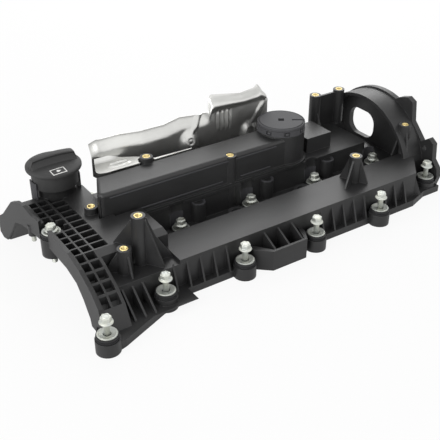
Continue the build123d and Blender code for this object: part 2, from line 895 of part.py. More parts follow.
ring_bottom_z = arch_top - bayonet_ring_height
with BuildPart() as oil_filler_cap:
    with BuildSketch(Plane.XY.offset(cap_brim_bottom)):
        with Locations((filler_x, filler_y)):
            Circle(cap_brim_radius)
    extrude(amount=cap_brim_height)
    fillet(oil_filler_cap.faces().sort_by(Axis.Z)[-1].edges(), 1.6)
    with BuildSketch(Plane.XY.offset(cap_skirt_bottom)):
        with Locations((filler_x, filler_y)):
            Circle(cap_skirt_radius)
            Circle(cap_skirt_radius - cap_wall, mode=Mode.SUBTRACT)
    extrude(amount=cap_brim_bottom - cap_skirt_bottom)
    with BuildSketch(Plane.XY.offset(neck_top + 3)):
        with Locations((filler_x, filler_y)):
            Circle(cap_skirt_radius - 1)
    extrude(amount=cap_brim_bottom - neck_top - 3)
    with BuildSketch(Plane.XY.offset(ring_bottom_z - bayonet_play - 4)):
        with Locations((filler_x, filler_y)):
            Circle(cap_stem_radius)
    extrude(amount=neck_top + 4 - ring_bottom_z + bayonet_play + 4)
    with BuildSketch(Plane.XY.offset(ring_bottom_z - bayonet_play - 4)):
        with Locations((filler_x, filler_y)):
            Circle(neck_bore_radius - 1)
        with BuildSketch(mode=Mode.PRIVATE) as lug_band:
            with Locations((filler_x, filler_y)):
                Rectangle(2 * bayonet_radius * sin(radians(bayonet_lug_angle / 2)), 60)
        add(lug_band.sketch, mode=Mode.INTERSECT)
    extrude(amount=4)
    with BuildSketch(Plane.XY.offset(ring_bottom_z - bayonet_play - 5)):
        with Locations((filler_x, filler_y)):
            Circle(cap_stem_radius - cap_wall)
    extrude(amount=neck_top - ring_bottom_z + 6, mode=Mode.SUBTRACT)
    # Grip
    with BuildSketch(Plane.XY.offset(cap_brim_bottom + cap_brim_height - 1)):
        with Locations((filler_x - 1, filler_y)):
            RectangleRounded(grip_length, grip_width, 3)
    extrude(amount=cap_top - cap_brim_bottom - cap_brim_height + 1)
    fillet(oil_filler_cap.faces().sort_by(Axis.Z)[-1].edges(), 1.2)
    # Grip fins on the skirt
    with BuildSketch(Plane.XY.offset(cap_skirt_bottom + 2)):
        with Locations((filler_x, filler_y)):
            with PolarLocations(cap_skirt_radius + 0.5, 6, start_angle=28):
                Rectangle(3, 2)
    extrude(amount=cap_brim_bottom - cap_skirt_bottom - 1)
oil_filler_cap.part.label = "oil_filler_cap"
export_step(oil_filler_cap.part, "parts/oil_filler_cap.step")

with BuildPart() as cap_seal:
    with BuildSketch(Plane.XY.offset(neck_top + 0.1)):
        with Locations((filler_x, filler_y)):
            Circle(neck_radius - 0.2)
            Circle(neck_bore_radius - 0.2, mode=Mode.SUBTRACT)
    extrude(amount=2.9)
cap_seal.part.label = "cap_seal"
export_step(cap_seal.part, "parts/cap_seal.step")

shield_outline = [
    (-132, 65),
    (-133, 102),
    (-124, 107),
    (-97, 107),
    (-72, 104),
    (-41, 104),
    (-21, 108),
    (5, 105),
    (20, 106),
    (17, 120),
    (21, 126),
    (63, 118),
    (83, 120),
    (88, 124),
    (100, 107),
    (97, 99),
    (101, 88),
    (101, shield_bottom),
    (-112, shield_bottom),
]
with BuildPart() as heat_shield:
    with BuildSketch(Plane.XZ.offset(-shield_y)):
        with BuildLine():
            Polyline(*shield_outline, close=True)
        make_face()
        with Locations(*shield_fixings.values()):
            Circle(shield_screw_radius, mode=Mode.SUBTRACT)
    extrude(amount=-shield_thickness)
    # Tab that lies on the separator
    block((-130, 128, chamber_top), (-98, shield_y + shield_thickness, chamber_top + shield_thickness))
heat_shield.part.label = "heat_shield"
export_step(heat_shield.part, "parts/heat_shield.step")

with BuildPart() as shield_screws:
    with BuildSketch(Plane.XZ.offset(-shield_y)):
        with Locations(*shield_fixings.values()):
            Circle(shield_screw_radius)
    extrude(amount=-8)
    with BuildSketch(Plane.XZ.offset(-shield_y)):
        with Locations(*shield_fixings.values()):
            Circle(3.2)
    extrude(amount=1.6)
shield_screws.part.label = "shield_screws"
export_step(shield_screws.part, "parts/shield_screws.step")

with BuildPart() as injector_seals:
    with BuildSketch(Plane.XY.offset(valley_floor + wall)):
        with Locations(*injector_places):
            Circle(injector_radius + 1.5)
            Circle(injector_radius - 2.5, mode=Mode.SUBTRACT)
    extrude(amount=2)
    with BuildSketch(Plane.XY.offset(valley_floor - 6)):
        with Locations(*injector_places):
            Circle(injector_radius)
            Circle(injector_radius - 2.5, mode=Mode.SUBTRACT)
    extrude(amount=6 + wall)
injector_seals.part.label = "injector_seals"
export_step(injector_seals.part, "parts/injector_seals.step")

with BuildPart() as brass_inserts:
    for x, y, top in insert_places.values():
        with BuildSketch(Plane.XY.offset(top - insert_length)):
            with Locations((x, y)):
                Circle(insert_radius)
                Circle(insert_bore_radius, mode=Mode.SUBTRACT)
        extrude(amount=insert_length + 0.3)
brass_inserts.part.label = "brass_inserts"
export_step(brass_inserts.part, "parts/brass_inserts.step")

sleeve_radius = sleeve_bore_radius + sleeve_wall
stations = {boss_top: flat_stations, arch_bolt_boss_top: [arch_bolt]}
with BuildPart() as grommets:
    for base, places in stations.items():
        for bottom, height, radius in (
            (base - 9, 9, boss_bore_radius - grommet_clearance),
            (base, 1.6, grommet_flange_radius),
            (base + 1.6, 1.0, grommet_flange_radius - 0.9),
            (base + 2.6, 1.9, grommet_flange_radius),
        ):
            with BuildSketch(Plane.XY.offset(bottom)):
                with Locations(*places):
                    Circle(radius)
                    Circle(sleeve_radius + grommet_clearance, mode=Mode.SUBTRACT)
            extrude(amount=height)
grommets.part.label = "grommets"
export_step(grommets.part, "parts/grommets.step")

flange_rise = washer_top - boss_top
with BuildPart() as compression_sleeves:
    for base, places in stations.items():
        for bottom, height, radius in (
            (base - 12, 12 + flange_rise - washer_thickness, sleeve_radius),
            (base + flange_rise - washer_thickness, washer_thickness, washer_radius),
        ):
            with BuildSketch(Plane.XY.offset(bottom)):
                with Locations(*places):
                    Circle(radius)
                    Circle(sleeve_bore_radius, mode=Mode.SUBTRACT)
            extrude(amount=height)
compression_sleeves.part.label = "compression_sleeves"
export_step(compression_sleeves.part, "parts/compression_sleeves.step")

with BuildPart() as locating_dowel:
    with BuildSketch(Plane.XY.offset(arch_crown - 13)):
        with Locations(dowel_place):
            Circle(dowel_radius)
    extrude(amount=9)
    chamfer(locating_dowel.edges().group_by(Axis.Z)[0], 0.6)
    with BuildSketch(Plane.XY.offset(arch_crown - 5)):
        with Locations(dowel_place):
            Circle(dowel_seat_radius)
    extrude(amount=9.5)
locating_dowel.part.label = "locating_dowel"
export_step(locating_dowel.part, "parts/locating_dowel.step")

# Bolts: place, top of the washer, length, how far it stands raised
bolts = {
    "bolt_left_corner": (left_corner, washer_top, bolt_length, bolt_lift),
    "bolt_right_corner": (right_corner, washer_top, bolt_length, bolt_lift),
    "bolt_arch": (arch_bolt, arch_bolt_boss_top + flange_rise, arch_bolt_length, seat_gap),
}
for i in range(row_count):
    bolts[f"bolt_front_{i + 1}"] = (front_row[i], washer_top, bolt_length, bolt_lift)
    bolts[f"bolt_inner_{i + 1}"] = (inner_row[i], washer_top, inner_bolt_length, inner_bolt_lift)
    bolts[f"bolt_rear_{i + 1}"] = (rear_row[i], washer_top, bolt_length, bolt_lift)

for name, (place, seat, length, lift) in bolts.items():
    with BuildPart() as bolt:
        with BuildSketch(Plane.XY.offset(seat + lift - length)):
            with Locations(place):
                Circle(bolt_radius)
        extrude(amount=length)
        chamfer(bolt.edges().group_by(Axis.Z)[0], 0.6)
        with BuildSketch(Plane.XY.offset(seat + lift)):
            with Locations(place):
                Circle(bolt_flange_radius)
        extrude(amount=bolt_flange_height)
        with BuildSketch(Plane.XY.offset(seat + lift + bolt_flange_height)):
            with Locations(place):
                RegularPolygon(radius=hex_across_flats / 2, side_count=6, major_radius=False)
        extrude(amount=hex_height)
        with BuildSketch(Plane.XY.offset(seat + lift + bolt_flange_height + hex_height - 0.8)):
            with Locations(place):
                Circle(2.4)
        extrude(amount=1, mode=Mode.SUBTRACT)
    bolt.part.label = name
    export_step(bolt.part, f"parts/{name}.step")
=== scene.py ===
"""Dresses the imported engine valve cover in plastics, plated steel, brass, rubber and sheet metal."""
import json
import math

import bmesh
import bpy
from bpy.props import FloatProperty, FloatVectorProperty, PointerProperty
from mathutils import Matrix, Vector, noise


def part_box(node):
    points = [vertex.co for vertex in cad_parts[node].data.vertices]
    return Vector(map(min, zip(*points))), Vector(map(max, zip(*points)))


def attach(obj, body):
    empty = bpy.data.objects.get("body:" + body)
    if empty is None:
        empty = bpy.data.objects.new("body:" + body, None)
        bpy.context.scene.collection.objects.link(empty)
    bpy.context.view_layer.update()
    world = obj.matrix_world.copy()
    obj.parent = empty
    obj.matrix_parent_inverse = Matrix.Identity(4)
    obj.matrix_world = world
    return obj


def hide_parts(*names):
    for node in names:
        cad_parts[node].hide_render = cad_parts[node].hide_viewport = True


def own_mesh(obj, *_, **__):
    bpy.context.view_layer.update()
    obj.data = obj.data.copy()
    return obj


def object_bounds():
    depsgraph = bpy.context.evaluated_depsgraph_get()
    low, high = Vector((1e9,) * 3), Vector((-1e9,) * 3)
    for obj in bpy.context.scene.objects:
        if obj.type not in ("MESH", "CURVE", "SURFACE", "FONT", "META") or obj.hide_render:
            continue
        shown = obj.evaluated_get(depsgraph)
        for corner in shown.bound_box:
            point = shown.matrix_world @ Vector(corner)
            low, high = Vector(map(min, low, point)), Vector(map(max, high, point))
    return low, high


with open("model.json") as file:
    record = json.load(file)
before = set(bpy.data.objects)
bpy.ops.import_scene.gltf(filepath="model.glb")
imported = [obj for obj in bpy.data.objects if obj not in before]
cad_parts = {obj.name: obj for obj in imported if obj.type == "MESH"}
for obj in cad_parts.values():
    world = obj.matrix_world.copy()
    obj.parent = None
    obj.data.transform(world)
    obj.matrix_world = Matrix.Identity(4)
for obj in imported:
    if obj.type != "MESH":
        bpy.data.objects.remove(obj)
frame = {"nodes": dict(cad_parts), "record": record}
CAD_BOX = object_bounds()

bl_info = {
    "name": "Engine valve cover dressing",
    "version": (1, 0, 0),
    "blender": (4, 5, 0),
    "location": "3D View > Sidebar > Valve cover",
    "description": "Adds the finishes and the fine pieces of an engine valve cover to its packed solids",
    "category": "Object",
}

COVER_BODY = "cover_assembly"
MM = 0.001
WHITE = (1.0, 1.0, 1.0, 1.0)


# Shader building

class Wire:
    """A socket that can be used in arithmetic: each operator adds a Math node."""

    def __init__(self, tree, socket):
        self.tree = tree
        self.socket = socket

    def calculate(self, operation, *values):
        node = self.tree.nodes.new("ShaderNodeMath")
        node.operation = operation
        for socket, value in zip(node.inputs, values):
            join(self.tree, socket, value)
        return Wire(self.tree, node.outputs[0])

    def __add__(self, other):
        return self.calculate("ADD", self, other)

    def __radd__(self, other):
        return self.calculate("ADD", other, self)

    def __sub__(self, other):
        return self.calculate("SUBTRACT", self, other)

    def __rsub__(self, other):
        return self.calculate("SUBTRACT", other, self)

    def __mul__(self, other):
        return self.calculate("MULTIPLY", self, other)

    def __rmul__(self, other):
        return self.calculate("MULTIPLY", other, self)

    def at_least(self, other):
        return self.calculate("MAXIMUM", self, other)


def join(tree, socket, value):
    """Sets a socket's value, or links a wire to it."""
    if isinstance(value, Wire):
        tree.links.new(value.socket, socket)
    else:
        socket.default_value = value


class Network:
    """The nodes of a material or a world."""

    def __init__(self, owner):
        owner.use_nodes = True
        self.tree = owner.node_tree
        self.tree.nodes.clear()

    def node(self, kind, output, settings=None, inputs=None):
        """Adds a node and returns one of its outputs, or nothing if it has none."""
        node = self.tree.nodes.new("ShaderNode" + kind)
        for name, value in (settings or {}).items():
            setattr(node, name, value)
        for name, value in (inputs or {}).items():
            join(self.tree, node.inputs[name], value)
        if output is None:
            return None
        return Wire(self.tree, node.outputs[output])

    def backdrop(self, camera, mirrors, glass):
        """How much of a plain white shows to the camera, in mirrors and through glass."""
        shown = self.node("LightPath", "Is Camera Ray") * camera
        shown = shown.at_least(self.node("LightPath", "Is Glossy Ray") * mirrors)
        return shown.at_least(self.node("LightPath", "Is Transmission Ray") * glass)


class Finish(Network):
    """A material under construction."""

    def __init__(self, name):
        self.material = bpy.data.materials.new(name)
        super().__init__(self.material)
        self.place = self.node("TexCoord", "Object")

    def cloud(self, scale, detail=3.0, roughness=0.5, stretch=None):
        """Noise from 0 to 1 at a number of patches per metre, which a stretch scales along each axis."""
        place = self.place
        if stretch:
            place = self.node("Mapping", "Vector", inputs={"Vector": place, "Scale": stretch})
        return self.node("TexNoise", "Fac", inputs={
            "Vector": place, "Scale": scale, "Detail": detail, "Roughness": roughness})

    def cells(self, scale):
        """The distance to the nearest of many scattered points."""
        return self.node("TexVoronoi", "Distance", inputs={"Vector": self.place, "Scale": scale})

    def between(self, value, low, high, start=0.0, end=1.0):
        """Maps a value from low..high to start..end and holds it there."""
        return self.node("MapRange", "Result", inputs={
            "Value": value, "From Min": low, "From Max": high, "To Min": start, "To Max": end})

    def blend(self, amount, first, second):
        """A colour between two colours."""
        return self.node("Mix", 2, {"data_type": "RGBA"}, {0: amount, 6: first, 7: second})

    def edges(self, radius):
        """The rounded normal of sharp edges, and a mask that is 1 along them."""
        rounded = self.node("Bevel", "Normal", {"samples": 6}, {"Radius": radius * MM})
        flat = self.node("NewGeometry", "Normal")
        facing = self.node("VectorMath", "Value", {"operation": "DOT_PRODUCT"}, {0: rounded, 1: flat})
        return rounded, self.between(1.0 - facing, 0.002, 0.12)

    def relief(self, height, distance, strength, normal=None):
        """A bump of the given depth in metres, on top of an earlier normal."""
        inputs = {"Height": height, "Distance": distance, "Strength": strength}
        if normal is not None:
            inputs["Normal"] = normal
        return self.node("Bump", "Normal", inputs=inputs)

    def surface(self, **sockets):
        """Adds the shader with its constants and wires, and returns the material."""
        inputs = {name.replace("_", " "): value for name, value in sockets.items()}
        shader = self.node("BsdfPrincipled", "BSDF", inputs=inputs)
        self.node("OutputMaterial", None, inputs={"Surface": shader})
        return self.material


def scaled(values, factor):
    """A colour made darker or lighter."""
    return [min(1.0, value * factor) for value in values]


def colour(values, factor=1.0):
    """A colour as sockets take it, made darker or lighter."""
    return (*scaled(values, factor), 1.0)


def moulded_nylon(name, base, pale, gloss, streaks, grain, rounding):
    """Black glass-filled plastic: fine moulded grain, flow streaks, and glossier edges painted a little
    lighter, partly as wear and partly as a painted highlight.
    """
    finish = Finish(name)
    rounded, edge = finish.edges(rounding)
    flow = finish.cloud(30.0, detail=5.0, roughness=0.6, stretch=streaks)
    patches = finish.cloud(11.0)
    fibres = finish.cloud(1100.0, detail=4.0, roughness=0.7, stretch=(0.35, 1.0, 1.0))
    speckle = finish.between(fibres, 0.58, 0.74)
    grey = finish.blend(finish.between(flow, 0.35, 0.7), colour(base), colour(pale))
    grey = finish.blend(speckle * 0.25, grey, colour(pale, 2.4))
    # Edges are painted lighter, partly as wear and partly as a painted highlight along them
    edge_wear_and_highlight = finish.blend(edge * 0.5, grey, colour(pale, 3.2))
    shine = finish.between(flow * 0.6 + patches * 0.4, 0.3, 0.7, *gloss)
    skin = finish.cloud(grain, detail=2.0, roughness=0.6)
    normal = finish.relief(skin, 0.00005, 0.5, rounded)
    normal = finish.relief(flow, 0.0002, 0.2, normal)
    return finish.surface(
        Base_Color=edge_wear_and_highlight, Roughness=shine - edge * 0.06, Specular_IOR_Level=0.42, Normal=normal)


def zinc_plate(name, base, tint, gloss):
    """Zinc plated steel: cool pale grey with a faint straw and green bloom and small handling marks."""
    finish = Finish(name)
    rounded, edge = finish.edges(0.35)
    bloom = finish.cloud(120.0, roughness=0.6)
    stain = finish.cloud(420.0, detail=4.0, roughness=0.7)
    shade = finish.blend(finish.between(bloom, 0.35, 0.68), colour(base), colour(tint))
    shade = finish.blend(finish.between(stain, 0.56, 0.75) * 0.5, shade, colour(base, 0.6))
    shade = finish.blend(edge * 0.6, shade, colour(base, 1.2))
    rough = finish.between(stain, 0.3, 0.75, *gloss)
    normal = finish.relief(finish.cloud(1800.0, detail=2.0), 0.00003, 0.6, rounded)
    return finish.surface(Base_Color=shade, Metallic=1.0, Roughness=rough, Normal=normal)


def printed_paint(name, base):
    """Pad-printed paint, a little thin in places."""
    finish = Finish(name)
    thin = finish.cloud(900.0, roughness=0.6)
    shade = finish.blend(finish.between(thin, 0.5, 0.72) * 0.5, colour(base), colour(base, 0.6))
    rough = finish.between(thin, 0.3, 0.7, 0.45, 0.6)
    normal = finish.relief(thin, 0.00003, 0.5)
    return finish.surface(Base_Color=shade, Roughness=rough, Specular_IOR_Level=0.4, Normal=normal)


def turned_brass(name, base):
    """Turned brass with fine tool rings and a dull film."""
    finish = Finish(name)
    rounded, edge = finish.edges(0.25)
    film = finish.cloud(300.0, detail=4.0, roughness=0.65)
    rings = finish.cloud(2400.0, detail=2.0, stretch=(0.15, 0.15, 1.0))
    shade = finish.blend(finish.between(film, 0.35, 0.7), colour(base), colour(base, 0.72))
    shade = finish.blend(edge * 0.6, shade, colour(base, 1.2))
    rough = finish.between(film, 0.3, 0.7, 0.24, 0.42)
    normal = finish.relief(rings, 0.00004, 0.6, rounded)
    return finish.surface(Base_Color=shade, Metallic=1.0, Roughness=rough, Normal=normal)


def moulded_rubber(name, base, bloom):
    """Rubber with a fine matt skin and a pale bloom in patches."""
    finish = Finish(name)
    rounded, edge = finish.edges(0.4)
    patches = finish.cloud(160.0, detail=4.0, roughness=0.6)
    shade = finish.blend(finish.between(patches, 0.42, 0.72) * 0.5, colour(base), colour(bloom))
    shade = finish.blend(edge * 0.3, shade, colour(bloom, 1.8))
    rough = finish.between(patches, 0.3, 0.7, 0.55, 0.75)
    normal = finish.relief(finish.cloud(1500.0, roughness=0.6), 0.00005, 0.6, rounded)
    return finish.surface(Base_Color=shade, Roughness=rough, Specular_IOR_Level=0.35, Normal=normal)


def bright_sheet(name, base):
    """Rolled aluminium sheet: rolling lines, light scuffs, dull patches and a soft ripple."""
    finish = Finish(name)
    rolling = finish.cloud(700.0, roughness=0.6, stretch=(0.04, 1.0, 1.0))
    ripple = finish.cloud(55.0, detail=2.0)
    heat = finish.cloud(20.0)
    shade = finish.blend(finish.between(heat, 0.35, 0.75), colour(base), colour(base, 0.8))
    shade = finish.blend(finish.between(rolling, 0.58, 0.8) * 0.3, shade, colour(base, 0.55))
    rough = finish.between(rolling * 0.4 + ripple * 0.6, 0.3, 0.7, 0.27, 0.4)
    normal = finish.relief(ripple, 0.0004, 0.2)
    normal = finish.relief(finish.cells(120.0), 0.00008, 0.2, normal)
    normal = finish.relief(rolling, 0.00002, 0.3, normal)
    return finish.surface(Base_Color=shade, Metallic=0.92, Roughness=rough, Normal=normal)


def dress(material, *nodes):
    """Gives CAD nodes their material."""
    for node in nodes:
        for slot in frame["nodes"][node].material_slots:
            slot.material = material


# Mesh building, in millimetres

def corners_of(node):
    """The lowest and highest corners of a CAD node."""
    low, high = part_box(node)
    return low / MM, high / MM


def middle_of(node):
    """The middle of a CAD node."""
    low, high = corners_of(node)
    return (low + high) / 2


def add_object(name, data):
    """Puts a mesh, a lamp or a camera into the scene."""
    item = bpy.data.objects.new(name, data)
    bpy.context.scene.collection.objects.link(item)
    return item


def mesh_data(name, mesh):
    """Turns a bmesh into mesh data and lets the bmesh go."""
    data = bpy.data.meshes.new(name)
    mesh.to_mesh(data)
    mesh.free()
    return data


def finish_piece(name, mesh, material, body, replaced=(), smooth_angle=35.0):
    """Turns a bmesh in millimetres into a piece that rides on a body."""
    bmesh.ops.remove_doubles(mesh, verts=mesh.verts, dist=0.001)
    bmesh.ops.scale(mesh, verts=mesh.verts, vec=(MM, MM, MM))
    bmesh.ops.recalc_face_normals(mesh, faces=mesh.faces)
    data = mesh_data(name, mesh)
    for polygon in data.polygons:
        polygon.use_smooth = True
    data.set_sharp_from_angle(angle=math.radians(smooth_angle))
    data.materials.append(bpy.data.materials[material])
    piece = add_object(name, data)
    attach(piece, body)
    if replaced:
        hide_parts(*replaced)
    return piece


def turned(mesh, centre, profile, steps=32, angle=math.tau, start=0.0):
    """Spins a profile of radius and height round an upright axis, and caps it if it stops short."""
    turn = Matrix.Rotation(start, 3, "Z")
    middle = Vector((centre[0], centre[1], 0))
    corners = [mesh.verts.new(middle + turn @ Vector((r, 0, z))) for r, z in profile]
    sides = [mesh.edges.new(pair) for pair in zip(corners, corners[1:])]
    whole = angle >= math.tau - 1e-6
    if not whole:
        sides.append(mesh.edges.new((corners[-1], corners[0])))
        bmesh.ops.contextual_create(mesh, geom=sides)
    result = bmesh.ops.spin(
        mesh, geom=corners + sides, cent=middle, axis=(0, 0, 1), angle=angle, steps=steps,
        use_merge=whole,
    )
    if not whole:
        last = [item for item in result["geom_last"] if isinstance(item, bmesh.types.BMEdge)]
        bmesh.ops.contextual_create(mesh, geom=last)


def round_edges(mesh, edges, radius):
    """Rounds edges in three steps."""
    bmesh.ops.bevel(
        mesh, geom=edges, offset=radius, affect="EDGES", segments=3, profile=0.5, material=-1,
        offset_type="OFFSET",
    )


def hexagon(mesh, centre, across_flats, low, high, chamfer, turn):
    """A hexagon head with a chamfered top."""
    radius = across_flats / 2 / math.cos(math.radians(30))
    place = Matrix.Translation((centre[0], centre[1], low)) @ Matrix.Rotation(turn, 4, "Z")
    base = bmesh.ops.create_circle(mesh, cap_ends=True, radius=radius, segments=6, matrix=place)
    floor = {face for vert in base["verts"] for face in vert.link_faces}
    top = bmesh.ops.extrude_face_region(mesh, geom=list(floor))
    raised = [item for item in top["geom"] if isinstance(item, bmesh.types.BMVert)]
    bmesh.ops.translate(mesh, verts=raised, vec=(0, 0, high - low))
    lids = [item for item in top["geom"] if isinstance(item, bmesh.types.BMFace)]
    round_edges(mesh, list({edge for face in lids for edge in face.edges}), chamfer)


def moulded_bar(mesh, low, high, rounding):
    """A bar between two corners with all its edges rounded."""
    low, high = Vector(low), Vector(high)
    cube = bmesh.ops.create_cube(mesh, size=1.0)
    bmesh.ops.scale(mesh, verts=cube["verts"], vec=high - low)
    bmesh.ops.translate(mesh, verts=cube["verts"], vec=(low + high) / 2)
    round_edges(mesh, list({edge for vert in cube["verts"] for edge in vert.link_edges}), rounding)


def swing(mesh, verts, turn, middle):
    """Turns points about the origin and then carries them to an upright axis."""
    bmesh.ops.rotate(mesh, verts=verts, cent=(0, 0, 0), matrix=turn)
    bmesh.ops.translate(mesh, verts=verts, vec=(middle.x, middle.y, 0))


def carve(piece, cutter):
    """Cuts one closed mesh in millimetres out of a piece, and gives the piece its new mesh."""
    bmesh.ops.recalc_face_normals(cutter, faces=cutter.faces)
    bmesh.ops.scale(cutter, verts=cutter.verts, vec=(MM, MM, MM))
    tool = add_object("cutter", mesh_data("cutter", cutter))
    cut = piece.modifiers.new("cut", "BOOLEAN")
    cut.operation = "DIFFERENCE"
    cut.solver = "EXACT"
    cut.object = tool
    graph = bpy.context.evaluated_depsgraph_get()
    carved = bpy.data.meshes.new_from_object(piece.evaluated_get(graph))
    piece.modifiers.clear()
    if len(carved.polygons) < 12:
        raise RuntimeError(piece.name + " was cut away")
    piece.data = carved
    bpy.data.objects.remove(tool)


# Sizes in millimetres

# The solid sheet's thickness and the pressed one's, which keeps a little inside the solid's ends
SOLID_SHEET = 0.8
SHEET = 0.7
SHEET_INSET = 0.5
# The upper and lower edge of the shield's wall: x, z
SHIELD_UPPER = [
    (-133, 102), (-124, 107), (-97, 107), (-72, 104), (-41, 104), (-21, 108), (5, 105), (17.5, 106),
    (19.0, 121), (22, 125.5), (63, 118), (83, 120), (88, 124), (100, 107), (101, 100),
]
SHIELD_LOWER = [(-133, 66), (-112, 48), (101, 48)]
# How far the wall's left end turns back, and how deep its flutes and creases are
END_TURN = 4.0
FLUTE_DEPTH = 1.1
FLUTE_PITCH = 6.5
CREASE_DEPTH = 1.8
# The screws' pads: x, z, and how far they rise round each screw's dimple
SCREW_PADS = [(-12.0, 79.0), (73.0, 71.0)]
PAD_RISE = 7.0
DIMPLE_DEPTH = 1.2

# The shield's foot: its left end, its length, its front edge, its height and its rear edge as x, y
FOOT_LEFT = -131.5
FOOT_LENGTH = 107.5
FOOT_FRONT = 137.4
FOOT_HEIGHT = 82.9
FOOT_REAR = [(-131.5, 165), (-106, 164), (-88, 154), (-70, 140.6), (-24, 138.8)]
# Its rounded corner, how far the front of its left end reaches out, and how far its rear edge curls up
FOOT_CORNER = 7.0
FOOT_REACH = 8.0
FOOT_CURL = 5.0
# The ring-shaped bead on it: its middle, half its straight part, its radius, half its width, its rise
BEAD_MIDDLE = (-109.0, 149.5)
BEAD_STRAIGHT = 8.0
BEAD_RADIUS = 3.4
BEAD_WIDTH = 1.8
BEAD_RISE = 0.9
# The hole that lets a threaded insert's boss through the foot
FOOT_HOLE = (-81.0, 140.0)
FOOT_HOLE_RADIUS = 8.6

BOLT_NODES = sorted(node for node in frame["nodes"] if node.startswith("bolt_"))
BOLT_HEAD = 7.2
HEXAGON_FLATS = 9.4
# How far one bolt's hexagon is turned from the next one's, in radians
HEXAGON_TURN = 0.37
THREAD_PITCH = 1.0
BOLT_THREAD = 13.0
SLEEVE_LENGTH = 18.0
INSERT_LENGTH = 12.0
# From the middle of an insert's thread to its top
INSERT_RISE = 6.3

# The filler cap's grip: its foot, its length and width each side at the foot, and its ends at the top
GRIP_FOOT = 87.6
GRIP_REACH = 27.2
GRIP_HALF_WIDTH = 10.4
GRIP_TOP_RIGHT = 23.5
GRIP_TOP_LEFT = 25.0
# The share of each side of the grip that its crown takes up, and how far the crown is rounded down
CROWN_SHARE = 0.3
CROWN_ROUNDING = 1.4
# The mark on the cap: its frame, the width of its line, its drop's radius, and where it lies on the brim
MARK_SIZE = (16.0, 10.2, 1.0)
MARK_LINE = 1.5
MARK_DROP = 2.0
MARK_PLACE = (-3.5, -22.2)
MARK_TURN = 0.03
PAINT_THICKNESS = 0.12

# The valve cap: its radius, its clip windows and how they are turned, in degrees
LID_RADIUS = 28.0
WINDOW_PITCH = 45.0
WINDOW_START = -112.0
WINDOW_HALF = 8.0
WINDOW_DEPTH = 2.2
# The lid's square socket and its slot: lowest and highest corner, from the middle of the lid's top
LID_CUTS = (
    ((-3.4, -3.4, -5.0), (3.4, 3.4, 2.0)),
    ((12.5, -1.6, -1.9), (30.0, 1.6, 2.0)),
)
LID_TURN = math.radians(-34)

# The filler's two guards: where each starts, in degrees, and how far it goes round
GUARD_STARTS = (166.0, -22.0)
GUARD_SWEEP = 34.0
# The separator's beads: lowest and highest corner
SEPARATOR_BEADS = (
    ((-147.0, 98.0, 75.4), (66.0, 99.6, 77.2)),
    ((-146.0, 98.2, 52.0), (-8.0, 99.6, 53.6)),
    ((16.0, 98.2, 52.0), (58.0, 99.6, 53.6)),
)
# Bosses on the far edge of the valley: x, y and the height of their tops
CLIP_BOSSES = [(-42.0, 97.0), (52.0, 97.0), (143.0, 97.0)]
CLIP_TOP = 39.0
# The profile of the wall behind each inner bolt, which closes the gap that the bolt's pocket leaves
POCKET_WALL = [(11.7, 15.0), (13.4, 15.0), (13.4, 34.0), (11.7, 34.0)]

# The lamps: place, target and side in metres, power in watts
LAMPS = {
    "rear_softbox": ((0.85, 1.27, 0.95), (0.0, 0.08, 0.04), 1.3, 14.5),
    "left_softbox": ((-1.9, -0.5, 0.8), (0.0, 0.05, 0.0), 1.8, 34.0),
    "front_softbox": ((0.6, -1.9, 1.1), (0.0, 0.05, 0.0), 3.0, 13.0),
}


def along(points, x):
    """The second value of a broken line at x."""
    for (x0, z0), (x1, z1) in zip(points, points[1:]):
        if x <= x1:
            return z0 + (z1 - z0) * max(0.0, (x - x0) / (x1 - x0))
    return points[-1][1]


def step(start, end, value):
    """0 before start, 1 after end, and smooth between."""
    t = min(1.0, max(0.0, (value - start) / (end - start)))
    return t * t * (3 - 2 * t)


def band(start, full, fall, end, value):
    """1 from full to fall, 0 before start and after end, and smooth between."""
    return step(start, full, value) * (1 - step(fall, end, value))


def press_depth(x, z, top, values):
    """How far the sheet is pressed back from its plane."""
    # The low part of the wall leans back along its top, and its left end turns back
    depth = values.lean * step(top - 15, top, z) * (1 - step(10, 20, x))
    depth += END_TURN * (1 - step(-133, -118, x))
    # The high part has a lip that bulges forward before it leans back, and flutes below the lip
    bulge = values.lip * math.sin(math.pi * step(103, top + 1, z))
    depth += step(15, 20, x) * step(104, 108, z) * (values.lean * step(112, top, z) - bulge)
    flutes = band(24, 28, 46, 50, x) * band(78, 84, 102, 106, z)
    depth += flutes * FLUTE_DEPTH * math.cos(x * math.tau / FLUTE_PITCH)
    # Each screw has a dimple in a domed pad, and a crease runs up from the pad
    for pad_x, pad_z in SCREW_PADS:
        dome = math.hypot(x - pad_x, (z - pad_z + 5.0) * 0.75)
        dimple = math.hypot(x - pad_x, z - pad_z)
        depth -= PAD_RISE * values.pad * (1 - step(3, 15, dome))
        depth += DIMPLE_DEPTH * (1 - step(3, 5, dimple))
        crease = abs((z - pad_z) - 1.5 * (x - pad_x)) / 1.8
        reach = band(pad_z + 6, pad_z + 12, pad_z + 26, pad_z + 34, z)
        depth -= CREASE_DEPTH * (1 - step(0.5, 4.5, crease)) * reach
    crumple = noise.noise(Vector((x, 0, z)) / 26.0) + 0.2 * noise.noise(Vector((x, 5, z)) / 9.0)
    return depth + values.crumple * crumple


# What a user may change

class PlasticProperties(bpy.types.PropertyGroup):
    nylon: FloatVectorProperty(
        name="Nylon", description="Colour of the moulded cover", subtype="COLOR",
        default=(0.015, 0.015, 0.0152), min=0.0, max=1.0)
    nylon_pale: FloatVectorProperty(
        name="Nylon flow", description="Paler colour where the plastic has flowed", subtype="COLOR",
        default=(0.024, 0.024, 0.0245), min=0.0, max=1.0)
    print: FloatVectorProperty(
        name="Print", description="Colour of the mark on the cap", subtype="COLOR",
        default=(0.80, 0.80, 0.78), min=0.0, max=1.0)


